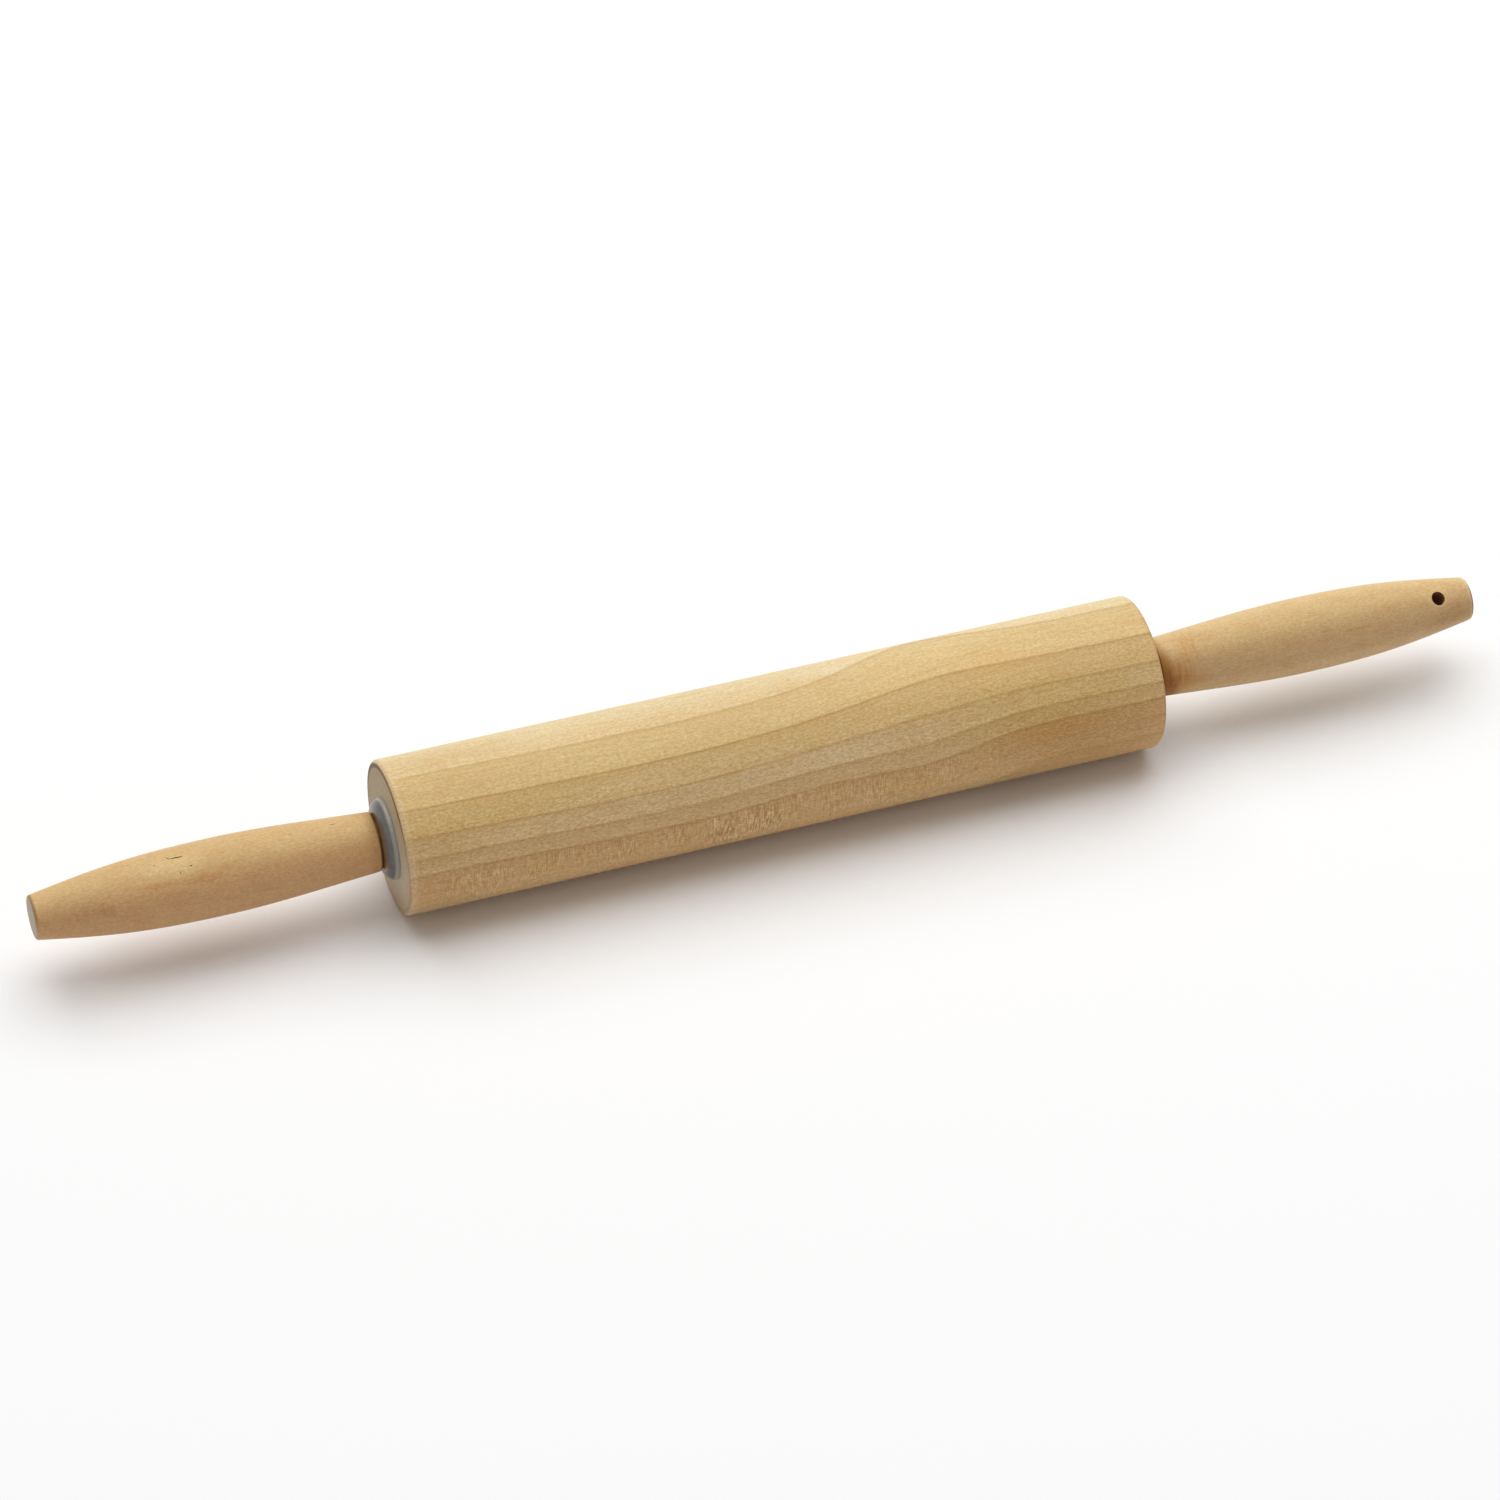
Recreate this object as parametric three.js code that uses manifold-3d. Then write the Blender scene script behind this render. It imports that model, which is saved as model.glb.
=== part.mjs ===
// Wooden rolling pin whose handles turn on a steel axle. Millimetres, +Z up, +X along the pin.
// The origin is the middle of the roller, on its axis.
import * as THREE from 'three';
import { mergeVertices } from 'three/addons/utils/BufferGeometryUtils.js';
import Module from 'manifold-3d';

// Roller
const rollerLength = 256;
const rollerDiameter = 50.8;
const rollerEdgeRadius = 1.5;
const rollerBore = 11;

// Handles, measured outwards from the roller's end face
const handleReach = 116.6;
const bellyReach = 56;
const handleInnerDiameter = 19.5;
const bellyDiameter = 25;
const tipDiameter = 14.3;
const innerFlare = 0.066; // growth of the radius per millimetre at the inner end
const tipTaper = 0.165; // fall of the radius per millimetre at the tip
const flareRun = 18; // how far each of these directions holds before the swell bends
const taperRun = 21;
const bellyRunIn = 17;
const bellyRunOut = 27;
const innerEdgeRadius = 0.6;
const tipEdgeRadius = 1;

// Hang hole across the right handle
const hangHoleDiameter = 4.76;
const hangHoleFromTip = 12.7;
const hangHoleTilt = THREE.MathUtils.degToRad(54.5); // its front mouth, up from -Y towards +Z

// Axle rod
const axleDiameter = 8;
const axleGrip = 45; // length held in each handle
const axleChamfer = 0.6;
const axleEndRoom = 1; // left between the rod and the bottom of its bore
const drillPointAngle = THREE.MathUtils.degToRad(118);
const boreMouth = 0.4;
const glueGrooveDepth = 0.4;
const glueGrooveWidth = 2;
const glueGrooveInsets = [8, 26]; // from the rod's end

// Bearing caps with a barbed spigot
const capDiameter = 26.8;
const capRim = 0.7;
const capHeight = 4.2;
const capFlatDiameter = 17.4;
const capFullness = 0.6; // how near the dome's bend comes to the square corner
const bearingBoreEase = 0.3;
const spigotDiameter = 14;
const spigotLength = 22;
const spigotLead = 1.2;
const barbHeight = 0.35;
const barbLength = 5;
const barbInsets = [5, 13]; // from the roller's end face

// Thrust washers
const washerDiameter = 16;
const washerBore = 8.6;
const washerThickness = 0.4;

// Fits and facets
const seatGap = 0.05;
const runningClearance = 0.08;
const rollerSides = 64;
const turnedSides = 48;
const axleSides = 32;
const holeSides = 24;

const rollerEnd = rollerLength / 2;
const washerStart = capHeight + seatGap;
const handleStart = washerStart + washerThickness + seatGap;
const axleEnd = rollerEnd + handleStart + axleGrip;

const wasm = await Module();
wasm.setup();

const at = (radius, along) => new THREE.Vector2(radius, along);

function arcPoints(radius, along, size, fromAngle, toAngle, steps) {
  const arc = new THREE.EllipseCurve(radius, along, size, size, fromAngle, toAngle);
  return arc.getPoints(steps);
}

// Revolves an outline of (radius, distance along the axis) about X, with its flats on the true circle
function turned(outline, sides) {
  const corner = 1 / Math.cos(Math.PI / sides);
  const points = outline.map((point) => at(point.x * corner, point.y));
  const geometry = new THREE.LatheGeometry(points, sides, Math.PI / sides);
  geometry.rotateZ(-Math.PI / 2);
  return geometry;
}

function toSolid(geometry) {
  geometry.deleteAttribute('normal');
  geometry.deleteAttribute('uv');
  const { index, attributes } = mergeVertices(geometry);
  const triangles = [];
  for (let i = 0; i < index.count; i += 3) {
    const corners = [index.getX(i), index.getX(i + 1), index.getX(i + 2)];
    if (new Set(corners).size === 3) triangles.push(...corners);
  }
  const mesh = new wasm.Mesh({
    numProp: 3,
    vertProperties: attributes.position.array,
    triVerts: new Uint32Array(triangles),
  });
  return new wasm.Manifold(mesh);
}

function drilled(geometry, drill) {
  const { vertProperties, triVerts } = toSolid(geometry).subtract(toSolid(drill)).getMesh();
  const result = new THREE.BufferGeometry();
  result.setAttribute('position', new THREE.BufferAttribute(vertProperties, 3));
  result.setIndex(new THREE.BufferAttribute(triVerts, 1));
  return result;
}

function rollerGeometry() {
  const bore = rollerBore / 2;
  const seat = spigotDiameter / 2 + seatGap;
  const seatEnd = rollerEnd - spigotLength - 2 * seatGap;
  const edge = rollerDiameter / 2 - rollerEdgeRadius;
  const edgeAlong = rollerEnd - rollerEdgeRadius;
  return turned([
    at(bore, -seatEnd),
    at(seat, -seatEnd),
    at(seat, -rollerEnd),
    ...arcPoints(edge, -edgeAlong, rollerEdgeRadius, -Math.PI / 2, 0, 4),
    ...arcPoints(edge, edgeAlong, rollerEdgeRadius, 0, Math.PI / 2, 4),
    at(seat, rollerEnd),
    at(seat, seatEnd),
    at(bore, seatEnd),
    at(bore, -seatEnd),
  ], rollerSides);
}

// The swell is one curve up to the belly and another from the belly into the straight taper of the tip
function handleSwell() {
  const inner = handleInnerDiameter / 2;
  const belly = bellyDiameter / 2;
  const swellStart = handleStart + innerEdgeRadius;
  const tipAngle = Math.atan(tipTaper);
  const tipAlong = handleReach - tipEdgeRadius;
  const taperEnd = tipAlong + tipEdgeRadius * Math.sin(tipAngle);
  const taperRadius = tipDiameter / 2 + tipTaper * (handleReach - taperEnd);
  const growing = new THREE.CubicBezierCurve(
    at(inner, swellStart),
    at(inner + innerFlare * flareRun, swellStart + flareRun),
    at(belly, bellyReach - bellyRunIn),
    at(belly, bellyReach),
  );
  const falling = new THREE.CubicBezierCurve(
    at(belly, bellyReach),
    at(belly, bellyReach + bellyRunOut),
    at(taperRadius + tipTaper * taperRun, taperEnd - taperRun),
    at(taperRadius, taperEnd),
  );
  const tipCentre = taperRadius - tipEdgeRadius * Math.cos(tipAngle);
  return [
    ...arcPoints(inner - innerEdgeRadius, swellStart, innerEdgeRadius, -Math.PI / 2, 0, 3),
    ...growing.getPoints(6).slice(1),
    ...falling.getPoints(9).slice(1),
    ...arcPoints(tipCentre, tipAlong, tipEdgeRadius, tipAngle, Math.PI / 2, 3).slice(1),
  ];
}

// Starts at the drill point of the blind bore, which holds the rod, and ends at the middle of the tip
function handleGeometry() {
  const bore = axleDiameter / 2 + seatGap;
  const boreEnd = handleStart + axleGrip + axleEndRoom;
  const drillPoint = bore / Math.tan(drillPointAngle / 2);
  return turned([
    at(0, boreEnd + drillPoint),
    at(bore, boreEnd),
    at(bore, handleStart + boreMouth),
    at(bore + boreMouth, handleStart),
    ...handleSwell(),
    at(0, handleReach),
  ], turnedSides);
}

function hangHoleDrill() {
  const radius = hangHoleDiameter / 2;
  const drill = new THREE.CylinderGeometry(radius, radius, bellyDiameter, holeSides);
  drill.rotateX(-hangHoleTilt);
  drill.translate(handleReach - hangHoleFromTip, 0, 0);
  return drill;
}

function axleGeometry() {
  const radius = axleDiameter / 2;
  const groove = radius - glueGrooveDepth;
  const half = [];
  for (const inset of [...glueGrooveInsets].reverse()) {
    const grooveEnd = axleEnd - inset;
    const grooveStart = grooveEnd - glueGrooveWidth;
    half.push(at(radius, grooveStart), at(groove, grooveStart), at(groove, grooveEnd), at(radius, grooveEnd));
  }
  half.push(at(radius, axleEnd - axleChamfer), at(radius - axleChamfer, axleEnd), at(0, axleEnd));
  const otherHalf = half.map((point) => at(point.x, -point.y)).reverse();
  return turned([...otherHalf, ...half], axleSides);
}

// A low dome on the roller's end face, with a spigot whose barbs grip the seat bored in the wood
function bearingGeometry() {
  const cap = capDiameter / 2;
  const flat = capFlatDiameter / 2;
  const bore = axleDiameter / 2 + runningClearance;
  const barb = spigotDiameter / 2;
  const stem = barb - barbHeight;
  const bend = at(cap - capFullness, capHeight - capFullness);
  const dome = new THREE.QuadraticBezierCurve(at(cap, capRim), bend, at(flat, capHeight));
  const barbs = [];
  for (const inset of [...barbInsets].reverse()) {
    barbs.push(at(stem, -inset - barbLength), at(barb, -inset), at(stem, -inset));
  }
  return turned([
    at(bore, bearingBoreEase - spigotLength),
    at(bore + bearingBoreEase, -spigotLength),
    at(stem - spigotLead / 2, -spigotLength),
    at(stem, spigotLead - spigotLength),
    ...barbs,
    at(stem, seatGap),
    at(cap, seatGap),
    ...dome.getPoints(6),
    at(bore + bearingBoreEase, capHeight),
    at(bore, capHeight - bearingBoreEase),
    at(bore, bearingBoreEase - spigotLength),
  ], turnedSides);
}

function washerGeometry() {
  const washerEnd = washerStart + washerThickness;
  return turned([
    at(washerBore / 2, washerStart),
    at(washerDiameter / 2, washerStart),
    at(washerDiameter / 2, washerEnd),
    at(washerBore / 2, washerEnd),
    at(washerBore / 2, washerStart),
  ], turnedSides);
}

function finish(color, roughness, metalness = 0) {
  return new THREE.MeshStandardMaterial({ color, roughness, metalness, flatShading: true });
}

const rollerWood = () => finish(0xd9bb86, 0.55);
const handleWood = () => finish(0xcfa673, 0.5);
const greyPlastic = () => finish(0x7d7d86, 0.3);
const steel = () => finish(0xb4b6b8, 0.35, 1);

function piece(name, geometry, material) {
  const mesh = new THREE.Mesh(geometry, material);
  mesh.name = name;
  return mesh;
}

// One end of the pin: pieces drawn from the roller's right end face outwards, turned round for the left end
function pinEnd(side, pieces) {
  const end = new THREE.Group();
  end.position.x = side * rollerEnd;
  end.rotation.z = side > 0 ? 0 : Math.PI;
  end.add(...pieces);
  return end;
}

const rollingPin = new THREE.Group();
rollingPin.add(piece('roller', rollerGeometry(), rollerWood()));
rollingPin.add(piece('axle_rod', axleGeometry(), steel()));
rollingPin.add(pinEnd(-1, [
  piece('left_bearing', bearingGeometry(), greyPlastic()),
  piece('left_thrust_washer', washerGeometry(), steel()),
  piece('left_handle', handleGeometry(), handleWood()),
]));
rollingPin.add(pinEnd(1, [
  piece('right_bearing', bearingGeometry(), greyPlastic()),
  piece('right_thrust_washer', washerGeometry(), steel()),
  piece('right_handle', drilled(handleGeometry(), hangHoleDrill()), handleWood()),
]));

export default rollingPin;
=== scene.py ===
import math
from collections import namedtuple
import bmesh
import bpy
from mathutils import Matrix, Vector


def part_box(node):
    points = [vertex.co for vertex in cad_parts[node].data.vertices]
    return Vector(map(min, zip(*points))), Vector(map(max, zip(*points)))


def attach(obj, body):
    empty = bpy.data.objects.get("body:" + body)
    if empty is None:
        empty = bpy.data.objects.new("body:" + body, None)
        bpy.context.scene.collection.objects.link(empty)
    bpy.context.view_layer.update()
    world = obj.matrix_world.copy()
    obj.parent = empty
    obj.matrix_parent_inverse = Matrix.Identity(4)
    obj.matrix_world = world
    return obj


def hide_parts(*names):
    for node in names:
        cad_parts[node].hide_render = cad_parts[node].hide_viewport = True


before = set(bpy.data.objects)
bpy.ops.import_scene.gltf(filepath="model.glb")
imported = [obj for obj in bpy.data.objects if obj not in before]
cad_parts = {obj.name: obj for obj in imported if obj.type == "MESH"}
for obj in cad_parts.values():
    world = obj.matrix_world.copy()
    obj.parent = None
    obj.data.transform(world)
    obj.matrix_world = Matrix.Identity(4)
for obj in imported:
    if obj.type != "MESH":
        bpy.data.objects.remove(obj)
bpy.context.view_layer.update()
scene = bpy.context.scene
mm = 0.001
print("frame loaded:", ", ".join(sorted(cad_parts)))


# camera, at the photograph's place
cameraView = {
    "azimuth": -18.84,      # degrees, 0 looks along +Y
    "elevation": 40.73,
    "distance": 2.0327,     # metres along the line of sight to the roller's middle
    "aside": 0.0063,        # roller's middle lies this far right of the picture's middle
    "below": 0.0011,
    "lens": 151.1,
    "sensor": 36.0,
    "clipEnd": 50.0,
}


def makeCamera(size):
    turn, lift = math.radians(size["azimuth"]), math.radians(size["elevation"])
    back = Vector((math.sin(turn) * math.cos(lift), -math.cos(turn) * math.cos(lift), math.sin(lift)))
    right = Vector((math.cos(turn), math.sin(turn), 0.0))
    up = back.cross(right)
    data = bpy.data.cameras.new("photoCamera")
    data.sensor_width = size["sensor"]
    data.lens = size["lens"]
    data.clip_end = size["clipEnd"]
    camera = bpy.data.objects.new("photoCamera", data)
    scene.collection.objects.link(camera)
    place = back * size["distance"] - right * size["aside"] + up * size["below"]
    camera.matrix_world = Matrix.Translation(place) @ Matrix((right, up, back)).transposed().to_4x4()
    scene.camera = camera


makeCamera(cameraView)
print("camera placed")


# shader helpers: a value may be a number or another node's output
def feed(tree, value, socket):
    if isinstance(value, bpy.types.NodeSocket):
        tree.links.new(value, socket)
    else:
        socket.default_value = value


def calc(tree, operation, first, second=0.0, third=0.0):
    node = tree.nodes.new("ShaderNodeMath")
    node.operation = operation
    for value, socket in zip((first, second, third), node.inputs):
        feed(tree, value, socket)
    return node.outputs[0]


def product(tree, first, *others):
    for other in others:
        first = calc(tree, "MULTIPLY", first, other)
    return first


def vectorCalc(tree, operation, first, second=(0.0, 0.0, 0.0)):
    node = tree.nodes.new("ShaderNodeVectorMath")
    node.operation = operation
    feed(tree, first, node.inputs[0])
    feed(tree, second, node.inputs[1])
    return node.outputs["Value"] if operation == "LENGTH" else node.outputs["Vector"]


def spread(tree, value, low, high, toLow=0.0, toHigh=1.0):
    node = tree.nodes.new("ShaderNodeMapRange")
    node.interpolation_type = "SMOOTHSTEP"
    for number, socket in zip((value, low, high, toLow, toHigh), node.inputs):
        feed(tree, number, socket)
    return node.outputs[0]


def combine(tree, x, y, z):
    node = tree.nodes.new("ShaderNodeCombineXYZ")
    for value, socket in zip((x, y, z), node.inputs):
        feed(tree, value, socket)
    return node.outputs[0]


def blendColour(tree, factor, first, second, kind="MIX"):
    node = tree.nodes.new("ShaderNodeMix")
    node.data_type = "RGBA"
    node.blend_type = kind
    feed(tree, factor, node.inputs["Factor"])
    for value, socket in ((first, node.inputs[6]), (second, node.inputs[7])):       # the two colour sockets
        feed(tree, value if isinstance(value, bpy.types.NodeSocket) else (*value, 1.0), socket)
    return node.outputs[2]


def scaleColour(tree, colour, factor):
    node = tree.nodes.new("ShaderNodeVectorMath")
    node.operation = "SCALE"
    tree.links.new(colour, node.inputs[0])
    feed(tree, factor, node.inputs["Scale"])
    return node.outputs[0]


def rampColour(tree, factor, stops):
    node = tree.nodes.new("ShaderNodeValToRGB")
    elements = node.color_ramp.elements
    while len(elements) < len(stops):
        elements.new(0.5)
    for element, (place, colour) in zip(elements, sorted(stops)):
        element.position = place
        element.color = (*colour, 1.0)
    feed(tree, factor, node.inputs[0])
    return node.outputs[0]


def bumpFrom(tree, height, strength, distance):
    node = tree.nodes.new("ShaderNodeBump")
    node.inputs["Strength"].default_value = strength
    node.inputs["Distance"].default_value = distance
    tree.links.new(height, node.inputs["Height"])
    return node.outputs[0]


def newFinish(name):
    material = bpy.data.materials.new(name)
    material.use_nodes = True
    tree = material.node_tree
    shader = next(node for node in tree.nodes if node.type == "BSDF_PRINCIPLED")
    return material, tree, shader


# every finish is read in millimetres, turned so that z points up in the photograph and y away from it
viewTurn = math.radians(42.3)       # how far the camera looks down across the pin
finishPlace = namedtuple("finishPlace", "point along depth rise")


def finishAxes(tree):
    coords = tree.nodes.new("ShaderNodeTexCoord")
    turned = tree.nodes.new("ShaderNodeMapping")
    turned.inputs["Rotation"].default_value = (viewTurn, 0.0, 0.0)
    turned.inputs["Scale"].default_value = (1 / mm, 1 / mm, 1 / mm)
    tree.links.new(coords.outputs["Object"], turned.inputs["Vector"])
    split = tree.nodes.new("ShaderNodeSeparateXYZ")
    tree.links.new(turned.outputs[0], split.inputs[0])
    return finishPlace(turned.outputs[0], *split.outputs)


def fromAxis(tree, at):
    return calc(tree, "SQRT", calc(tree, "MULTIPLY_ADD", at.depth, at.depth, product(tree, at.rise, at.rise)))


def onTurning(along, radius, angle):
    # a place on a turned surface: angle 0 faces the camera, minus is up in the photograph
    turn = math.radians(angle)
    return (along, -radius * math.cos(turn), -radius * math.sin(turn))


def spot(tree, point, centre, size, soft):
    # 1 inside an ellipsoid of these half sizes in millimetres, fading to 0 at its skin
    near = vectorCalc(tree, "SUBTRACT", point, centre)
    near = vectorCalc(tree, "DIVIDE", near, size)
    return spread(tree, vectorCalc(tree, "LENGTH", near), soft, 1.0, 1.0, 0.0)


# noise patterns, from 0 to 1
def pattern(along, across, detail, roughness=0.5):
    # scale per millimetre along the pin and across it
    return {"scale": (along, across, across), "detail": detail, "roughness": roughness}


def noise(tree, vector, look):
    node = tree.nodes.new("ShaderNodeTexNoise")
    node.inputs["Scale"].default_value = 1.0
    node.inputs["Detail"].default_value = look["detail"]
    node.inputs["Roughness"].default_value = look["roughness"]
    tree.links.new(vector, node.inputs["Vector"])
    return node.outputs[0]


def drawPattern(tree, point, look):
    return noise(tree, vectorCalc(tree, "MULTIPLY", point, look["scale"]), look)


def drawPatterns(tree, point, looks):
    return {label: drawPattern(tree, point, look) for label, look in looks.items()}


def drawFibres(tree, at, height, look, shift=(0.0, 0.0, 0.0)):
    # drawn out along the growth layers, whose height is given
    parts = zip((at.along, at.depth, height), look["scale"], shift)
    return noise(tree, combine(tree, *(calc(tree, "MULTIPLY_ADD", *part) for part in parts)), look)


def sway(tree, value, wave, amount):
    # shifts a value up and down by a pattern
    return calc(tree, "MULTIPLY_ADD", calc(tree, "SUBTRACT", wave, 0.5), amount, value)


# ways to tint a colour
def washOver(tree, colour, tint, factor):
    # multiplies the colour by a tint, as far as the factor says
    return blendColour(tree, factor, colour, tint, "MULTIPLY")


def washBetween(tree, colour, value, wash):
    # a wash is (where it starts, where it is full, tint)
    start, full, tint = wash
    return washOver(tree, colour, tint, spread(tree, value, start, full))


def varyColour(tree, colour, wave, low, high, lowTone, highTone, cover=1.0):
    # brightens and darkens the colour by a pattern, as far as the cover says
    tone = spread(tree, wave, low, high, lowTone - 1.0, highTone - 1.0)
    return scaleColour(tree, colour, calc(tree, "MULTIPLY_ADD", tone, cover, 1.0))


def speckColour(tree, colour, wave, width, dark, light, cover=1.0):
    # the low side of a pattern takes one tint, its high side the other
    tint = blendColour(tree, spread(tree, wave, 0.5 - width, 0.5 + width), dark, light)
    return washOver(tree, colour, tint, cover)


# marks in the wood, some of them broken up by curly figure
curlFigure = {
    "across": 0.12,
    "detail": 3.0,
    "roughness": 0.6,
    "shown": (0.35, 0.65, 0.2, 1.0),
}


def mark(along, radius, angle, size, tint, soft=0.0, curl=0.0):
    # half sizes are along, away and up, in millimetres
    return {"centre": onTurning(along, radius, angle), "size": size, "tint": tint, "soft": soft, "curl": curl}


def markWood(tree, colour, point, marks):
    for patch in marks:
        cover = spot(tree, point, patch["centre"], patch["size"], patch["soft"])
        if patch["curl"]:
            look = pattern(patch["curl"], curlFigure["across"], curlFigure["detail"], curlFigure["roughness"])
            cover = product(tree, cover, spread(tree, drawPattern(tree, point, look), *curlFigure["shown"]))
        colour = washOver(tree, colour, patch["tint"], cover)
    return colour


# what roller and handles share: cupped layers, sawn end faces and the surface
faceEdge = (0.10, 0.03)     # mm before a flat end where its face starts and is full
woodSurface = {
    "streakReach": (0.2, 0.8),
    "streakRelief": 0.5,
    "reliefDepth": 0.0002,      # metres
}


def cuppedHeight(tree, at, radius, aside=0.0):
    # height within layers that curve up to the front and to the back
    off = calc(tree, "SUBTRACT", at.depth, aside)
    return calc(tree, "SUBTRACT", at.rise, product(tree, off, off, 0.5 / radius))


def endFace(tree, outward, end):
    return spread(tree, outward, *(end - step for step in faceEdge))


def finishWood(tree, shader, colour, streak, speck, surface):
    tree.links.new(colour, shader.inputs["Base Color"])
    roughness = spread(tree, streak, *woodSurface["streakReach"], *surface["roughness"])
    tree.links.new(roughness, shader.inputs["Roughness"])
    shader.inputs["Specular IOR Level"].default_value = surface["sheen"]
    relief = calc(tree, "MULTIPLY_ADD", streak, woodSurface["streakRelief"], speck)
    bump = bumpFrom(tree, relief, surface["relief"], woodSurface["reliefDepth"])
    tree.links.new(bump, shader.inputs["Normal"])


# outlines are lists of (along, radius) in millimetres
def arc(along, radius, size, fromAngle, toAngle, steps):
    angles = [math.radians(fromAngle + (toAngle - fromAngle) * step / steps) for step in range(steps + 1)]
    return [(along + size * math.sin(angle), radius + size * math.cos(angle)) for angle in angles]


def curve(start, pull, push, end, steps):
    points = []
    for step in range(steps + 1):
        t = step / steps
        weights = ((1 - t) ** 3, 3 * t * (1 - t) ** 2, 3 * t * t * (1 - t), t ** 3)
        parts = list(zip(weights, (start, pull, push, end)))
        points.append(tuple(sum(weight * corner[axis] for weight, corner in parts) for axis in (0, 1)))
    return points


def straight(start, end, steps):
    ways = list(zip(start, end))
    return [tuple(near + (far - near) * step / steps for near, far in ways) for step in range(steps + 1)]


# turning: a grid wrapped round X, each of its rows taking one point of the outline
turningInputs = {
    "Outline": "Geometry",
    "Sides": "Int",
    "Merge Distance": "Float",
    "Finish": "Material",
}
mergeDistance = 2e-6        # metres, closes the seam and the poles
sharpAngle = math.radians(32)


def addTurningInputs(tree):
    sockets = {}
    for label, kind in turningInputs.items():
        socket = tree.interface.new_socket(label, in_out="INPUT", socket_type="NodeSocket" + kind)
        sockets[label] = socket.identifier
    tree.interface.new_socket("Turned", in_out="OUTPUT", socket_type="NodeSocketGeometry")
    return sockets


def outlinePoint(tree, outline, row):
    # along and radius at one point of the outline
    sample = tree.nodes.new("GeometryNodeSampleIndex")
    sample.data_type = "FLOAT_VECTOR"
    tree.links.new(outline, sample.inputs["Geometry"])
    tree.links.new(tree.nodes.new("GeometryNodeInputPosition").outputs[0], sample.inputs["Value"])
    tree.links.new(row, sample.inputs["Index"])
    split = tree.nodes.new("ShaderNodeSeparateXYZ")
    tree.links.new(sample.outputs[0], split.inputs[0])
    return split.outputs[0], split.outputs[1]


def wrapGrid(tree, outline, sides):
    count = tree.nodes.new("GeometryNodeAttributeDomainSize")
    tree.links.new(outline, count.inputs["Geometry"])
    columns = calc(tree, "ADD", sides, 1.0)
    grid = tree.nodes.new("GeometryNodeMeshGrid")
    tree.links.new(count.outputs["Point Count"], grid.inputs["Vertices X"])
    tree.links.new(columns, grid.inputs["Vertices Y"])
    index = tree.nodes.new("GeometryNodeInputIndex").outputs[0]
    row = calc(tree, "FLOOR", calc(tree, "DIVIDE", calc(tree, "ADD", index, 0.5), columns))
    column = calc(tree, "SUBTRACT", index, product(tree, row, columns))
    along, radius = outlinePoint(tree, outline, row)
    angle = calc(tree, "DIVIDE", product(tree, column, 2 * math.pi), sides)
    across = product(tree, radius, calc(tree, "SINE", angle))
    upward = product(tree, radius, calc(tree, "COSINE", angle))
    wrap = tree.nodes.new("GeometryNodeSetPosition")
    tree.links.new(grid.outputs["Mesh"], wrap.inputs["Geometry"])
    tree.links.new(combine(tree, along, across, upward), wrap.inputs["Position"])
    return wrap.outputs[0]


def makeTurningTree():
    tree = bpy.data.node_groups.new("turnedOutline", "GeometryNodeTree")
    sockets = addTurningInputs(tree)
    given = tree.nodes.new("NodeGroupInput").outputs
    shape = wrapGrid(tree, given["Outline"], given["Sides"])
    for kind, settings in (
        ("MergeByDistance", {"Distance": given["Merge Distance"]}),
        ("SetShadeSmooth", {}),
        ("RealizeInstances", {}),
        ("SetMaterial", {"Material": given["Finish"]}),
    ):
        node = tree.nodes.new("GeometryNode" + kind)
        tree.links.new(shape, node.inputs[0])
        for label, value in settings.items():
            tree.links.new(value, node.inputs[label])
        shape = node.outputs[0]
    tree.links.new(shape, tree.nodes.new("NodeGroupOutput").inputs[0])
    return tree, sockets


turningTree, turningSockets = makeTurningTree()


def settle(piece):
    # turns what the modifiers show into a plain mesh
    bpy.context.view_layer.update()
    depsgraph = bpy.context.evaluated_depsgraph_get()
    mesh = bpy.data.meshes.new_from_object(piece.evaluated_get(depsgraph), depsgraph=depsgraph)
    piece.modifiers.clear()
    piece.data = mesh
    mesh.name = piece.name
    mesh.set_sharp_from_angle(angle=sharpAngle)


def turnPiece(name, outline, sides, finish, side=1, start=0.0):
    # side -1 turns the outline round to the left end of the pin
    points = [(side * (start + along) * mm, radius * mm, 0.0) for along, radius in outline]
    if side < 0:
        points.reverse()
    mesh = bpy.data.meshes.new(name)
    mesh.from_pydata(points, [(step, step + 1) for step in range(len(points) - 1)], [])
    piece = bpy.data.objects.new(name, mesh)
    scene.collection.objects.link(piece)
    turning = piece.modifiers.new("turning", "NODES")
    turning.node_group = turningTree
    turning[turningSockets["Sides"]] = sides
    turning[turningSockets["Merge Distance"]] = mergeDistance
    turning[turningSockets["Finish"]] = finish
    settle(piece)
    return piece


def dress(piece, node, body):
    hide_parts(node)
    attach(piece, body)


# roller
rollerLow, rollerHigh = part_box("roller")
rollerEnd = rollerHigh.x / mm
rollerRadius = rollerHigh.z / mm
rollerSizes = {
    "edgeRadius": 1.5,
    "edgeMargin": 0.4,      # long faces keep this far from the eased edge
    "boreRadius": 5.5,
    "seatRadius": 7.05,
    "seatDepth": 22.1,
    "sides": 192,
    "lengthSteps": 64,
    "edgeSteps": 10,
    "faceSteps": 6,
}


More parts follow.
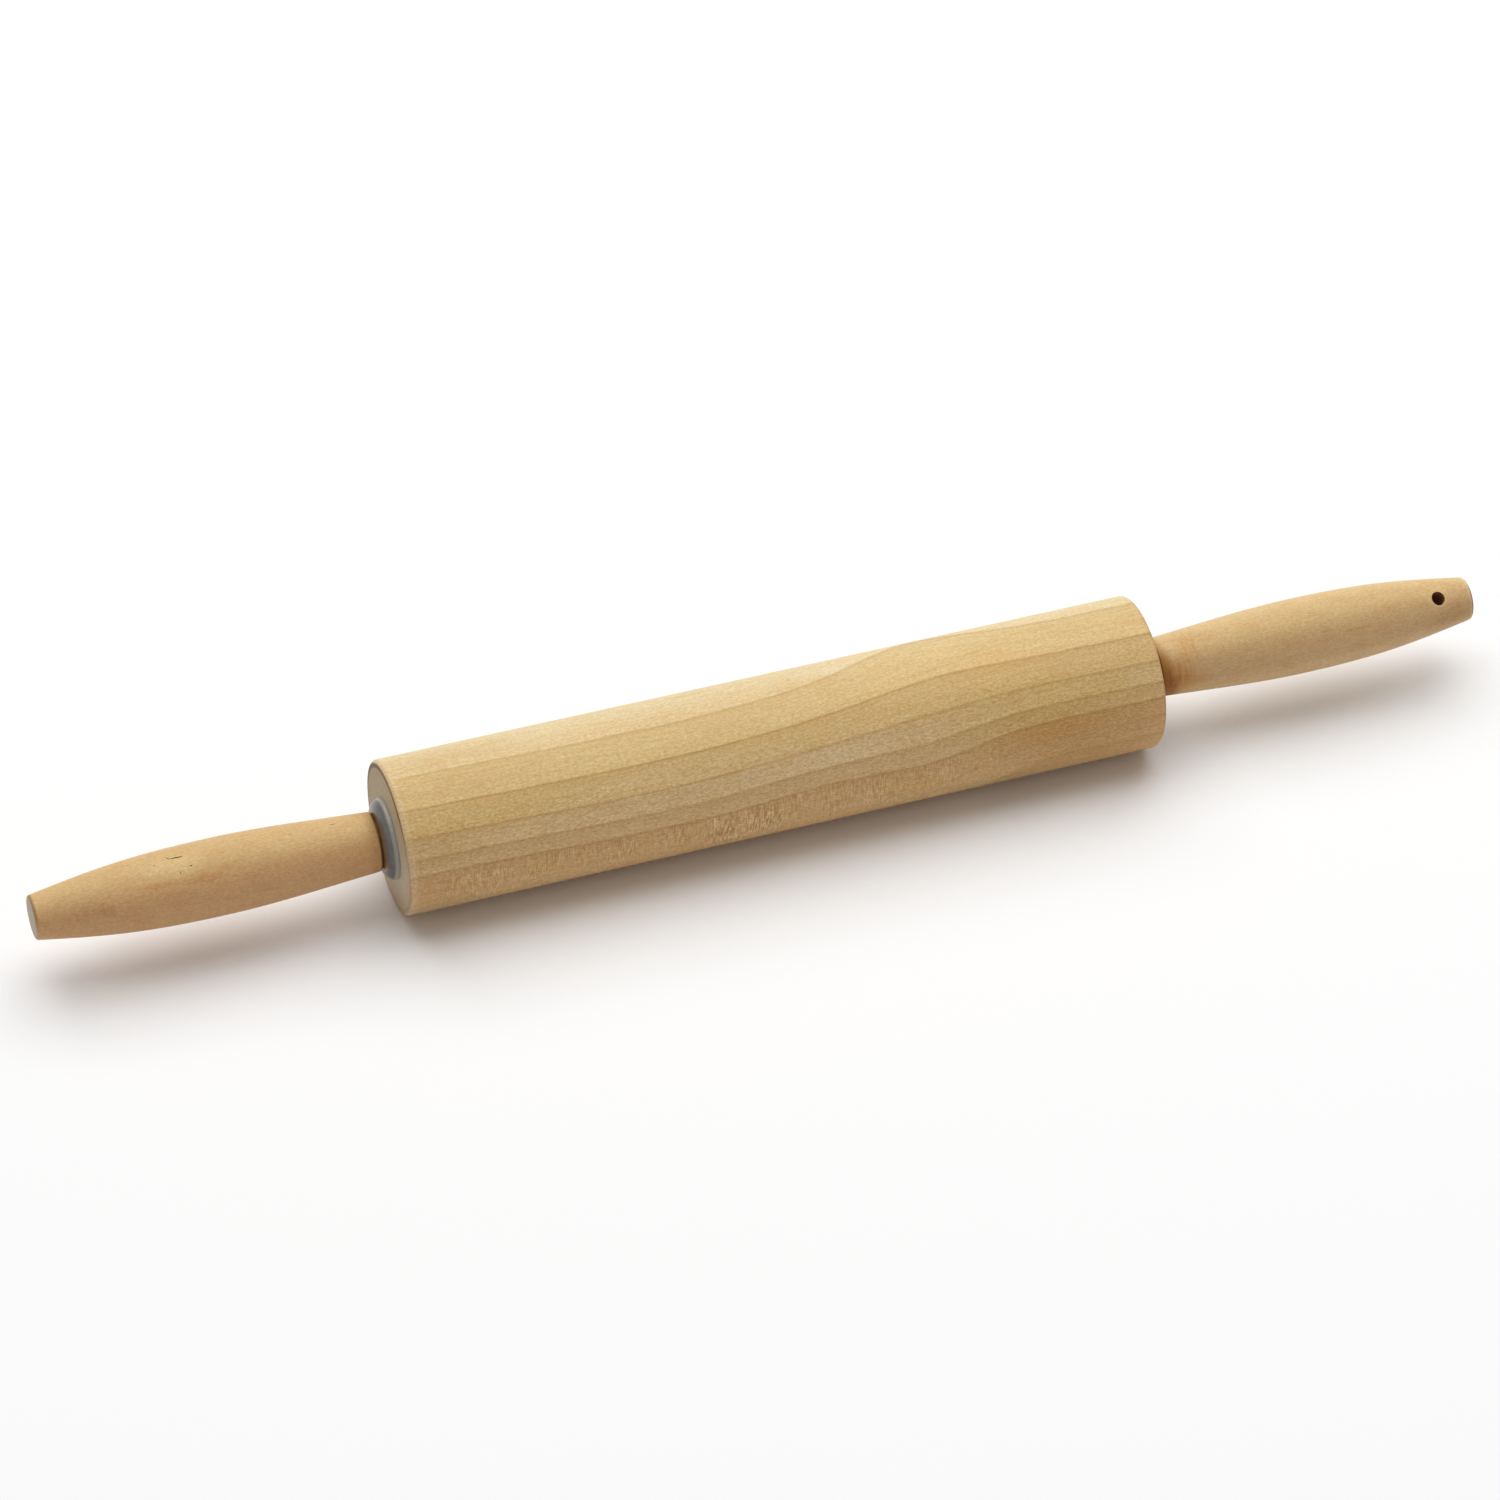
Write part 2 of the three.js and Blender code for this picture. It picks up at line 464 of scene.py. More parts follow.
def rollerOutline(size):
    edge, margin = size["edgeRadius"], size["edgeMargin"]
    bore, seat = size["boreRadius"], size["seatRadius"]
    shoulder = rollerRadius - edge
    seatEnd = rollerEnd - size["seatDepth"]
    bodyEnd = rollerEnd - edge - margin
    outline = straight((-seatEnd, bore), (-seatEnd, seat), 1)
    outline += straight((-rollerEnd, seat), (-rollerEnd, shoulder - margin), size["faceSteps"])
    outline += arc(edge - rollerEnd, shoulder, edge, -90, 0, size["edgeSteps"])
    outline += straight((-bodyEnd, rollerRadius), (bodyEnd, rollerRadius), size["lengthSteps"])
    outline += arc(rollerEnd - edge, shoulder, edge, 0, 90, size["edgeSteps"])
    outline += straight((rollerEnd, shoulder - margin), (rollerEnd, seat), size["faceSteps"])
    outline += straight((seatEnd, seat), (seatEnd, bore), 1)
    return outline + [outline[0]]


# its wood: growth layers that climb to the right, the upper ones in a crest, lengths in millimetres
rollerWood = {
    "lines": (13.1, 0.95, -8.4, -14.75, -19.1, -23.6, -27.8),   # height where each layer ends in a dark line
    "lineDepth": (0.9, 1.3, 1.05, 0.9, 0.95, 0.35, 0.3),
    "lineProfile": (        # height above a line, change of colour there
        (0.45, (0.06, 0.06, 0.06)),
        (-0.10, (-0.19, -0.25, -0.41)),
        (-0.70, (-0.06, -0.08, -0.11)),
        (-3.4, (0.0, 0.0, 0.0)),
    ),
    "layers": (
        (0.684, 0.502, 0.244),
        (0.672, 0.470, 0.197),
        (0.662, 0.447, 0.181),
        (0.690, 0.475, 0.219),
        (0.660, 0.435, 0.191),
        (0.635, 0.385, 0.155),
        (0.645, 0.408, 0.178),
        (0.605, 0.372, 0.156),
    ),
    "layerBlur": 0.1,
    "reach": (-36.0, 28.0),             # lowest and highest layer
    "cupRadius": 120.0,
    "cupAside": 8.0,
    "crest": (48.0, 28.0, 0.175),       # middle, half width, share of the height
    "fan": (0.0, 60.0, 0.06),           # from, to, share of the height
    "climbs": ((-36.0, 78.0, 6.5), (84.0, 120.0, -0.4), (-36.0, -150.0, 1.9)),      # from, to, rise
    "waves": {"slow": 0.9, "fine": 0.4},        # how far these patterns shift the layers
    "patterns": {
        "slow": pattern(0.018, 0.07, 3.0),
        "fine": pattern(0.12, 0.6, 2.0),
        "speck": pattern(0.8, 2.3, 2.0, 0.75),
        "lathe": pattern(1.7, 0.03, 2.0, 0.7),
        "cloud": pattern(0.10, 0.30, 3.0, 0.6),
        "stroke": pattern(2.3, 0.26, 1.0, 0.6),
        "patch": pattern(0.09, 0.05, 2.0),
        "pore": pattern(0.2, 2.2, 3.0, 0.7),
    },
    "fibres": {"scale": (0.06, 0.9, 1.9), "detail": 4.0, "roughness": 0.65},
    "streakTints": (0.2, (0.95, 0.935, 0.905), (1.05, 1.065, 1.095)),       # half width, low and high side
    "speckTints": (0.36, (0.74, 0.62, 0.36), (1.26, 1.38, 1.68)),
    "speckFade": (-12.0, 22.0, 1.0, 0.65),      # from, to, shares shown below and above; fainter on top, standing in for the strong light there
    "latheTones": (0.3, 0.7, 0.98, 1.02),       # low and high in the pattern, brightness there
    "cloudWash": (0.42, 0.66, (1.0, 0.965, 0.91)),      # start and full in the pattern, tint
    "topLightWash": (17.5, 24.0, (1.065, 1.145, 1.30)),        # painted highlight along the top: start, full, tint
    # the left eased edge is paler: its end grain, with painted light where it faces the light
    "leftEdge": (2.7, 1.35, 0.5, (0.720, 0.535, 0.320)),        # from the end: start, full, share, colour
    # the right eased edge is darker: painted shade, turned from the light; from the end: start, full, tint
    "rightEdge": (1.5, 0.3, (0.86, 0.80, 0.70)),
    "strokes": {                # across the grain, in the brown wood
        "underLine": 4,         # counted from 0
        "fadeIn": 0.6,          # below that line
        "deep": (9.0, 4.0, 0.55, 1.0),          # depths, shares shown there
        "middle": -12.0,
        "aside": (0.0, 34.0, 1.0, 0.55),        # distances from the middle, shares shown there
        "leftEnd": (-124.0, -112.0),
        "rightEnd": (87.0, 37.0),
        "patches": (0.36, 0.60, 0.3, 1.0),
        "tints": (0.16, (0.72, 0.59, 0.35), (1.24, 1.42, 1.76)),
    },
    "endGrain": ((0.585, 0.485, 0.370), (0.365, 0.278, 0.160)),     # low and high on the end face: lighter low down and darker at the top, painted light and shade
    "endLightBlend": (-12.0, 24.0),
    "endShare": 0.8,
    "endRim": (18.5, 22.5, (0.92, 0.86, 0.76)),         # from the axis: start, full, tint
    # painted light on the end face round the cap, lifting its contact shadow: from the axis, start, full,
    # tint
    "capRing": (16.5, 14.0, (1.04, 1.12, 1.19)),
    "poreTones": (0.3, 0.7, 0.84, 1.12),
    "darkEdgeLine": {          # where the eased edge begins
        "inside": (1.1, 0.5),
        "outside": (0.9, 0.5),
        "fromEnd": (0.6, 0.3),
        "byHeight": (-8.0, 8.0, 0.25, 1.0),
        "tint": (0.36, 0.26, 0.14),
    },
    "surface": {"roughness": (0.62, 0.50), "sheen": 0.4, "relief": 0.06},
    "stainsAndPaintedShade": (
        mark(74.0, rollerRadius, -27, (26.0, 12.0, 8.0), (1.0, 0.95, 0.82)),
        mark(88.0, rollerRadius, 29, (22.0, 9.0, 7.0), (0.98, 0.91, 0.78)),
        mark(102.0, rollerRadius, 48, (52.0, 16.0, 16.0), (0.87, 0.80, 0.66), soft=0.1),
        mark(-91.0, rollerRadius, -63, (7.0, 6.0, 2.4), (0.98, 0.93, 0.84)),
        mark(12.0, rollerRadius, 11, (48.0, 12.0, 11.0), (1.04, 1.08, 1.21)),
        mark(-120.0, rollerRadius, 14, (24.0, 12.0, 9.0), (0.91, 0.86, 0.80)),
        # painted shade on the lower left side
        mark(-120.0, rollerRadius, 52, (22.0, 14.0, 9.0), (0.94, 0.88, 0.83)),
        mark(-112.0, rollerRadius, -58, (38.0, 16.0, 6.0), (0.93, 0.88, 0.81), soft=0.1),
        mark(-108.0, rollerRadius, -27, (48.0, 14.0, 6.0), (0.93, 0.90, 0.85), soft=0.1),
        mark(-42.0, rollerRadius, 2, (54.0, 14.0, 11.0), (1.03, 1.06, 1.17), soft=0.1),
        mark(89.0, rollerRadius, 11, (48.0, 16.0, 19.0), (0.96, 0.93, 0.79), soft=0.1),
        mark(26.0, rollerRadius, -57, (17.0, 12.0, 4.5), (1.04, 1.07, 1.17), soft=0.1),
        # these two darken the bottom edge: painted shade
        mark(-121.0, rollerRadius, 75, (30.0, 14.0, 4.0), (0.80, 0.83, 0.88)),
        mark(76.0, rollerRadius, 77, (34.0, 14.0, 3.4), (0.84, 0.88, 0.84)),
    ),
}


def growthHeight(tree, at, wood):
    # height within the growth layers, flattened out from their cup and their climb
    height = cuppedHeight(tree, at, wood["cupRadius"], wood["cupAside"])
    middle, half, share = wood["crest"]
    off = calc(tree, "DIVIDE", calc(tree, "SUBTRACT", at.along, middle), half)
    crest = calc(tree, "EXPONENT", product(tree, off, off, -1.0))
    start, end, fanShare = wood["fan"]
    fan = spread(tree, at.along, start, end, 0.0, fanShare)
    lift = product(tree, height, calc(tree, "MULTIPLY_ADD", crest, share, fan))
    for start, end, rise in wood["climbs"]:
        lift = calc(tree, "ADD", lift, spread(tree, at.along, start, end, 0.0, rise))
    return calc(tree, "SUBTRACT", height, lift)


def rampPlace(height, wood):
    low, high = wood["reach"]
    return (height - low) / (high - low)


def layerStops(wood):
    # flat colour of each layer, changing at the lines
    low, high = wood["reach"]
    blur = wood["layerBlur"]
    stops = []
    for top, bottom, colour in zip((high,) + wood["lines"], wood["lines"] + (low,), wood["layers"]):
        stops += [(rampPlace(top - blur, wood), colour), (rampPlace(bottom + blur, wood), colour)]
    return stops


def lineStops(wood):
    # brighter above a line, dark on it, and back to plain a few millimetres below
    stops = [(0.0, (1.0, 1.0, 1.0)), (1.0, (1.0, 1.0, 1.0))]
    for line, depth in zip(wood["lines"], wood["lineDepth"]):
        for above, change in wood["lineProfile"]:
            stops.append((rampPlace(line + above, wood), tuple(1.0 + depth * part for part in change)))
    return stops


def layerColour(tree, height, wood):
    low, high = wood["reach"]
    place = calc(tree, "DIVIDE", calc(tree, "SUBTRACT", height, low), high - low)
    layers = rampColour(tree, place, layerStops(wood))
    return washOver(tree, layers, rampColour(tree, place, lineStops(wood)), 1.0)


def easedEdges(tree, colour, along, wood):
    # left edge paler, partly painted light; right edge darker, painted shade
    start, full, share, edgeColour = wood["leftEdge"]
    worn = spread(tree, along, start - rollerEnd, full - rollerEnd, 0.0, share)
    colour = blendColour(tree, worn, colour, edgeColour)
    start, full, tint = wood["rightEdge"]
    return washBetween(tree, colour, along, (rollerEnd - start, rollerEnd - full, tint))


def addStrokes(tree, colour, at, height, waves, wood):
    # clusters of short strokes below a line, strongest near the middle
    strokes = wood["strokes"]
    line = wood["lines"][strokes["underLine"]]
    away = calc(tree, "ABSOLUTE", calc(tree, "SUBTRACT", at.along, strokes["middle"]))
    deep, shallow, deepShare, shallowShare = strokes["deep"]
    cover = product(
        tree,
        spread(tree, waves["patch"], *strokes["patches"]),
        spread(tree, height, line, line - strokes["fadeIn"]),
        spread(tree, away, *strokes["aside"]),
        spread(tree, height, line - deep, line - shallow, deepShare, shallowShare),
        spread(tree, at.along, *strokes["leftEnd"]),
        spread(tree, at.along, *strokes["rightEnd"]),
    )
    return speckColour(tree, colour, waves["stroke"], *strokes["tints"], cover)


def rollerEnds(tree, colour, at, pore, wood):
    # end grain, painted lighter low down and round the cap and darker at the top, with a dark line round it
    outward = calc(tree, "ABSOLUTE", at.along)
    across = fromAxis(tree, at)
    face = endFace(tree, outward, rollerEnd)
    # painted light and shade: end face lighter low down, darker at the top
    endGrain = blendColour(tree, spread(tree, at.rise, *wood["endLightBlend"]), *wood["endGrain"])
    for ring in (wood["endRim"], wood["capRing"]):
        endGrain = washBetween(tree, endGrain, across, ring)
    colour = blendColour(tree, product(tree, face, wood["endShare"]), colour, endGrain)
    colour = varyColour(tree, colour, pore, *wood["poreTones"], face)
    shoulder = rollerRadius - rollerSizes["edgeRadius"]
    darkLine = wood["darkEdgeLine"]
    # dark line where the eased edge begins, fuller towards the top
    line = product(
        tree,
        spread(tree, across, *(shoulder - step for step in darkLine["inside"])),
        spread(tree, across, *(shoulder + step for step in darkLine["outside"])),
        spread(tree, outward, *(rollerEnd - step for step in darkLine["fromEnd"])),
        spread(tree, at.rise, *darkLine["byHeight"]),
    )
    return washOver(tree, colour, darkLine["tint"], line)


def makeRollerWood(wood):
    material, tree, shader = newFinish("rollerWood")
    at = finishAxes(tree)
    waves = drawPatterns(tree, at.point, wood["patterns"])
    height = growthHeight(tree, at, wood)
    for label, amount in wood["waves"].items():
        height = sway(tree, height, waves[label], amount)
    streak = drawFibres(tree, at, height, wood["fibres"])
    colour = layerColour(tree, height, wood)
    # painted highlight: paler and bluer along the top
    colour = washBetween(tree, colour, at.rise, wood["topLightWash"])
    colour = easedEdges(tree, colour, at.along, wood)
    colour = speckColour(tree, colour, streak, *wood["streakTints"])
    shown = spread(tree, at.rise, *wood["speckFade"])
    colour = speckColour(tree, colour, waves["speck"], *wood["speckTints"], shown)
    colour = varyColour(tree, colour, waves["lathe"], *wood["latheTones"])
    colour = washBetween(tree, colour, waves["cloud"], wood["cloudWash"])
    colour = addStrokes(tree, colour, at, height, waves, wood)
    colour = markWood(tree, colour, at.point, wood["stainsAndPaintedShade"])
    colour = rollerEnds(tree, colour, at, waves["pore"], wood)
    finishWood(tree, shader, colour, streak, waves["speck"], wood["surface"])
    return material


rollerFinish = makeRollerWood(rollerWood)
roller = turnPiece("turnedRoller", rollerOutline(rollerSizes), rollerSizes["sides"], rollerFinish)
dress(roller, "roller", "roller_unit")
print("roller turned:", len(roller.data.polygons), "faces")


# bearing caps, measured from the roller's end face
bearingLow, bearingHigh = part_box("right_bearing")
capHeight = bearingHigh.x / mm - rollerEnd
capRadius = bearingHigh.z / mm
spigotEnd = bearingLow.x / mm - rollerEnd
bearingSizes = {
    "rim": 0.7,
    "rimEase": 0.04,
    "rimMargin": 0.5,           # flat faces keep this far from the rim
    "flatRadius": 8.7,
    "fullness": 0.6,
    "boreRadius": 4.08,
    "boreEase": 0.3,
    "boreMargin": 1.0,          # and the bore's wall from its ends
    "stemRadius": 6.65,
    "stemEase": (1.2, 0.6),     # along, in
    "barbRadius": 7.0,
    "barbs": ((-18.0, -13.0), (-10.0, -5.0)),       # where each taper starts, where it steps back
    "seatGap": 0.01,
    "sides": 160,
    "domeSteps": 24,
    "rimSteps": 3,
    "topSteps": 3,
    "boreSteps": 6,
}


def bearingOutline(size):
    bore, stem, gap = size["boreRadius"], size["stemRadius"], size["seatGap"]
    ease, rimEase, margin = size["boreEase"], size["rimEase"], size["boreMargin"]
    easeAlong, easeIn = size["stemEase"]
    rimTop, flat = (size["rim"], capRadius), (capHeight, size["flatRadius"])
    bend = (capHeight - size["fullness"], capRadius - size["fullness"])
    pull, push = (straight(end, bend, 3)[2] for end in (rimTop, flat))      # two thirds of the way
    outline = [(spigotEnd + ease, bore), (spigotEnd, bore + ease)]
    outline += [(spigotEnd, stem - easeIn), (spigotEnd + easeAlong, stem)]
    for taper, step in size["barbs"]:
        outline += [(taper, stem), (step, size["barbRadius"]), (step, stem)]
    outline += [(gap, stem), (gap, capRadius - size["rimMargin"])]
    outline += arc(gap + rimEase, capRadius - rimEase, rimEase, -90, 0, size["rimSteps"])
    outline += curve(rimTop, pull, push, flat, size["domeSteps"])
    outline += straight((capHeight, flat[1] - ease), (capHeight, bore + ease), size["topSteps"])
    outline.append((capHeight - ease, bore))
    outline += straight((capHeight - margin, bore), (spigotEnd + margin, bore), size["boreSteps"])
    return outline + [outline[0]]


bearingTone = {
    "patterns": {"cloud": pattern(0.35, 0.35, 3.0), "fine": pattern(4.0, 4.0, 2.0)},
    "tones": ((0.3, (0.112, 0.104, 0.098)), (0.7, (0.158, 0.148, 0.140))),
    # paler rim: painted highlight, which also lifts the contact shade at its foot
    "edge": (0.350, 0.340, 0.300),
    "edgeBand": (0.5, 0.1),                 # mm inside the rim
    "thinEdge": (0.420, 0.395, 0.340),      # top and bottom of the flange, paler still: painted highlight
    "thinBand": (0.65, 0.95),               # shares of the radius
    "handleSideBrown": (0.300, 0.165, 0.065),          # brown on the dome beside the handle
    "handleSideBrownBand": (11.3, 9.9),                # mm from the axis
    "glint": (0.620, 0.610, 0.560),
    "glints": ((-40.0, 0.8), (-10.0, 0.6), (47.0, 0.4)),    # painted glints on the left cap: angle, half length
    "glintInset": (0.9, 0.1),               # mm out from the roller, and in from the rim
    "glintHalf": 0.16,
    "glintSoft": 0.2,
    "roughness": (0.2, 0.8, 0.22, 0.34),
    "relief": (0.08, 0.0001),
}


def makeBearingPlastic(tone):
    # mottled grey, its rim paler with painted highlight, brown beside the handle, painted glints on the left
    # cap
    material, tree, shader = newFinish("greyNylon")
    at = finishAxes(tree)
    waves = drawPatterns(tree, at.point, tone["patterns"])
    colour = rampColour(tree, waves["cloud"], tone["tones"])
    across = fromAxis(tree, at)
    rim = spread(tree, across, *(capRadius - step for step in tone["edgeBand"]))
    thin = spread(tree, calc(tree, "ABSOLUTE", at.rise), *(share * capRadius for share in tone["thinBand"]))
    colour = blendColour(tree, rim, colour, blendColour(tree, thin, tone["edge"], tone["thinEdge"]))
    # brown ring on the dome beside the handle
    colour = blendColour(tree, spread(tree, across, *tone["handleSideBrownBand"]), colour, tone["handleSideBrown"])
    out, inside = tone["glintInset"]
    for angle, half in tone["glints"]:
        centre = onTurning(-rollerEnd - out, capRadius - inside, angle)
        # painted glints: small pale spots on the rim
        glintMask = spot(tree, at.point, centre, (tone["glintHalf"], half, half), tone["glintSoft"])
        colour = blendColour(tree, glintMask, colour, tone["glint"])
    tree.links.new(colour, shader.inputs["Base Color"])
    tree.links.new(spread(tree, waves["fine"], *tone["roughness"]), shader.inputs["Roughness"])
    tree.links.new(bumpFrom(tree, waves["fine"], *tone["relief"]), shader.inputs["Normal"])
    return material


bearingPlastic = makeBearingPlastic(bearingTone)
for sideName, side in (("left", -1), ("right", 1)):
    cap = turnPiece(sideName + "BearingCap", bearingOutline(bearingSizes), bearingSizes["sides"],
                    bearingPlastic, side, rollerEnd)
    dress(cap, sideName + "_bearing", "roller_unit")
print("bearing caps turned")


# handles, measured from the roller's end face
handleLow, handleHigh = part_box("right_handle")
handleStart = handleLow.x / mm - rollerEnd
handleReach = handleHigh.x / mm - rollerEnd
bellyRadius = handleHigh.z / mm
handleSizes = {
    "innerRadius": 9.75,
    "innerFlare": 0.066,
    "flareRun": 18.0,
    "bellyReach": 56.0,
    "bellyRunIn": 17.0,
    "bellyRunOut": 27.0,
    "tipRadius": 7.15,
    "tipTaper": 0.165,
    "taperRun": 21.0,
    "innerEdge": 0.6,
    "innerMargin": 0.2,     # flat faces keep this far from an eased edge
    "tipEdge": 1.0,
    "tipMargin": 0.3,
    "boreRadius": 4.05,
    "boreDepth": 46.0,
    "boreMouth": 0.4,
    "drillPoint": 2.43,
    "sides": 160,
    "boreSteps": 8,
    "faceSteps": 4,
    "edgeSteps": 6,
    "swellSteps": 48,
    "taperSteps": 56,
    "tipSteps": 8,
}


def handleOutline(size):
    inner, edge, tipEdge = size["innerRadius"], size["innerEdge"], size["tipEdge"]
    bore, mouth, faceSteps = size["boreRadius"], size["boreMouth"], size["faceSteps"]
    taper, taperRun, flareRun = size["tipTaper"], size["taperRun"], size["flareRun"]
    swell = handleStart + edge
    belly = (size["bellyReach"], bellyRadius)
    tipAngle = math.atan(taper)
    tipAlong = handleReach - tipEdge
    taperEnd = tipAlong + tipEdge * math.sin(tipAngle)
    taperRadius = size["tipRadius"] + taper * (handleReach - taperEnd)
    tipCentre = taperRadius - tipEdge * math.cos(tipAngle)
    boreEnd = handleStart + size["boreDepth"]
    outline = [(boreEnd + size["drillPoint"], 0.0)]
    outline += straight((boreEnd, bore), (handleStart + mouth, bore), size["boreSteps"])
    faceEnd = inner - edge - size["innerMargin"]
    outline += straight((handleStart, bore + mouth), (handleStart, faceEnd), faceSteps)
    outline += arc(swell, inner - edge, edge, -90, 0, size["edgeSteps"])
    outline += curve((swell, inner), (swell + flareRun, inner + size["innerFlare"] * flareRun),
                     (belly[0] - size["bellyRunIn"], belly[1]), belly, size["swellSteps"])[1:]
    outline += curve(belly, (belly[0] + size["bellyRunOut"], belly[1]),
                     (taperEnd - taperRun, taperRadius + taper * taperRun),
                     (taperEnd, taperRadius), size["taperSteps"])[1:]
    outline += arc(tipAlong, tipCentre, tipEdge, math.degrees(tipAngle), 90, size["tipSteps"])[1:]
    return outline + straight((handleReach, tipCentre - size["tipMargin"]), (handleReach, 0.0), faceSteps)


# their wood: pinker below, finely specked, each handle with its own marks, lengths in millimetres
handleWood = {
    "patterns": {
        "slow": pattern(0.03, 0.09, 3.0),
        "speck": pattern(0.8, 2.3, 2.0, 0.75),
        "mottle": pattern(0.13, 0.22, 3.0, 0.6),
        "lathe": pattern(1.5, 0.05, 2.0, 0.7),
        "pore": pattern(0.2, 2.4, 3.0, 0.7),
    },
    "fibres": {"scale": (0.09, 1.1, 1.6), "detail": 4.0, "roughness": 0.65},
    "patternShift": (131.0, 17.0, 29.0),        # times the handle's seed
    "fibreShift": (7.0, 0.0, 11.0),
    "cupRadius": 45.0,
    "layerWave": 4.0,
    "shadeWave": 7.0,
    "shadeBlend": (-3.5, 5.5),
    "streakTones": (0.3, 0.7, 0.97, 1.03),
    "speckTints": (0.36, (0.86, 0.79, 0.64), (1.14, 1.21, 1.36)),
    "latheTones": (0.3, 0.7, 0.985, 1.015),
    "mottleWash": (0.45, 0.68, (0.97, 0.92, 0.87)),
    "burnishAndShade": (5.5, 0.5, (0.56, 0.38, 0.10)),      # darker inner end, burnish and painted shade from the roller's end: from the inner end, start, full, tint
    "burnishAndShadeWave": 3.0,
    # darker edge at the inner end: worn wood and painted shade of the crevice by the cap; start, full, tint
    "wornAndShadedEdge": (0.8, 0.1, (0.40, 0.29, 0.15)),
    "ringEnd": (0.04, 0.12),        # before the tip, where its rings are gone and still full
    "endGrain": (0.400, 0.365, 0.270),
    "endShare": 0.85,
    "poreTones": (0.3, 0.7, 0.86, 1.1),
    "surface": {"roughness": (0.58, 0.46), "sheen": 0.3, "relief": 0.1},
}
leftEnd = -rollerEnd
leftTone = {
    "upper": (0.641, 0.417, 0.177),
    "lower": (0.608, 0.345, 0.155),
    "topLightWash": (0.64, 0.92, (1.02, 1.04, 1.07)),      # painted light: from, to as shares of the radius, tint at the top
    "bottomLightWash": (-0.72, -0.92, (0.96, 0.96, 0.96)),     # and at the bottom, painted shade here
    "rubbedAndShaded": (0.25, 0.0),      # how strong the burnish and painted shade are, and how much further they reach below
    "tipRings": (               # distances from the tip, heights where it is gone and full
        {"start": 1.3, "full": 0.5, "byHeight": (-6.0, 2.0), "tint": (0.57, 0.53, 0.47)},
    ),
    "seed": 1.0,
    "side": -1.0,
    "marks": (
        mark(leftEnd - 71.5, 12.2, -28, (13.0, 9.0, 6.0), (1.09, 1.15, 1.20), soft=0.3),
        mark(leftEnd - 76.0, 12.2, -6, (11.0, 6.0, 1.8), (0.95, 0.86, 0.75)),
        mark(leftEnd - 62.0, 12.2, -2, (9.0, 6.0, 1.8), (0.94, 0.84, 0.71)),
        mark(leftEnd - 55.0, 12.2, -12, (4.0, 6.0, 1.8), (0.94, 0.85, 0.73)),
        mark(leftEnd - 98.0, 10.0, 18, (15.0, 7.0, 3.4), (0.86, 0.76, 0.68), curl=0.5),
        mark(leftEnd - 82.0, 12.0, 0, (20.0, 8.0, 5.0), (1.06, 1.08, 1.08), soft=0.1),
        mark(leftEnd - 5.0, 9.8, -35, (3.6, 8.0, 7.5), (0.74, 0.70, 0.60)),
    ),
}
rightTone = {
    "upper": (0.665, 0.444, 0.194),
    "lower": (0.610, 0.389, 0.187),
    # painted highlight along the top, painted floor light along the bottom
    "topLightWash": (0.64, 0.92, (1.08, 1.15, 1.26)),
    "bottomLightWash": (-0.64, -0.88, (1.08, 1.14, 1.20)),
    "rubbedAndShaded": (1.0, 0.25),
    "tipRings": (
        # painted highlight: pale ring on the rounded tip edge
        {"start": 1.8, "full": 1.2, "byHeight": (-9.0, -8.0), "tint": (1.10, 1.18, 1.38)},
        {"start": 0.85, "full": 0.5, "byHeight": (4.5, 2.0), "tint": (0.45, 0.40, 0.34)},
    ),
    "seed": 2.0,
    "side": 1.0,
    "marks": (
        mark(rollerEnd + 15.5, 10.6, -25, (6.0, 8.0, 9.5), (0.91, 0.72, 0.44), curl=0.7),
        mark(rollerEnd + 9.0, 10.0, 26, (10.0, 9.0, 9.0), (0.82, 0.60, 0.34), soft=0.1, curl=0.6),
        mark(rollerEnd + 13.0, 10.2, 45, (13.0, 9.0, 7.0), (0.97, 0.84, 0.62), soft=0.1),
        mark(rollerEnd + 74.0, 12.1, 9, (9.0, 4.0, 0.9), (0.92, 0.84, 0.72)),
        mark(rollerEnd + 103.0, 9.2, -14, (7.5, 6.0, 6.5), (1.05, 1.05, 1.05), soft=0.4),
        mark(rollerEnd + 109.0, 8.4, 48, (18.0, 9.0, 8.0), (0.84, 0.77, 0.66), soft=0.1),
        mark(rollerEnd + 104.15, 9.25, -10.7, (2.85, 2.85, 2.85), (1.18, 1.26, 1.42), soft=0.85),
        mark(rollerEnd + 106.5, 8.8, -17.5, (1.0, 1.5, 0.4), (0.70, 0.60, 0.45)),
    ),
}


def handleEnds(tree, colour, at, waves, wood, tone):
    # inner end darkened by burnish and painted shade, its edge darker still, rings round the tip (the pale
    # one a painted highlight) and its pale sawn face
    reach = calc(tree, "MULTIPLY_ADD", at.along, tone["side"], -rollerEnd)
    strength, slope = tone["rubbedAndShaded"]
    start, full, tint = wood["burnishAndShade"]
    wander = sway(tree, reach, waves["mottle"], wood["burnishAndShadeWave"])
    wander = calc(tree, "MULTIPLY_ADD", at.rise, slope, wander)
    # burnish and painted shade, stronger lower down next to the roller
    rubbedAndShaded = spread(tree, wander, handleStart + start, handleStart + full, 0.0, strength)
    colour = washOver(tree, colour, tint, rubbedAndShaded)
    # worn edge with painted crevice shade
    start, full, tint = wood["wornAndShadedEdge"]
    colour = washBetween(tree, colour, reach, (handleStart + start, handleStart + full, tint))
    beforeTip = spread(tree, reach, *(handleReach - step for step in wood["ringEnd"]))
    for ring in tone["tipRings"]:
        cover = spread(tree, reach, handleReach - ring["start"], handleReach - ring["full"])
        cover = product(tree, cover, beforeTip, spread(tree, at.rise, *ring["byHeight"]))
        colour = washOver(tree, colour, ring["tint"], cover)
    face = endFace(tree, reach, handleReach)
    colour = blendColour(tree, product(tree, face, wood["endShare"]), colour, wood["endGrain"])
    return varyColour(tree, colour, waves["pore"], *wood["poreTones"], face)


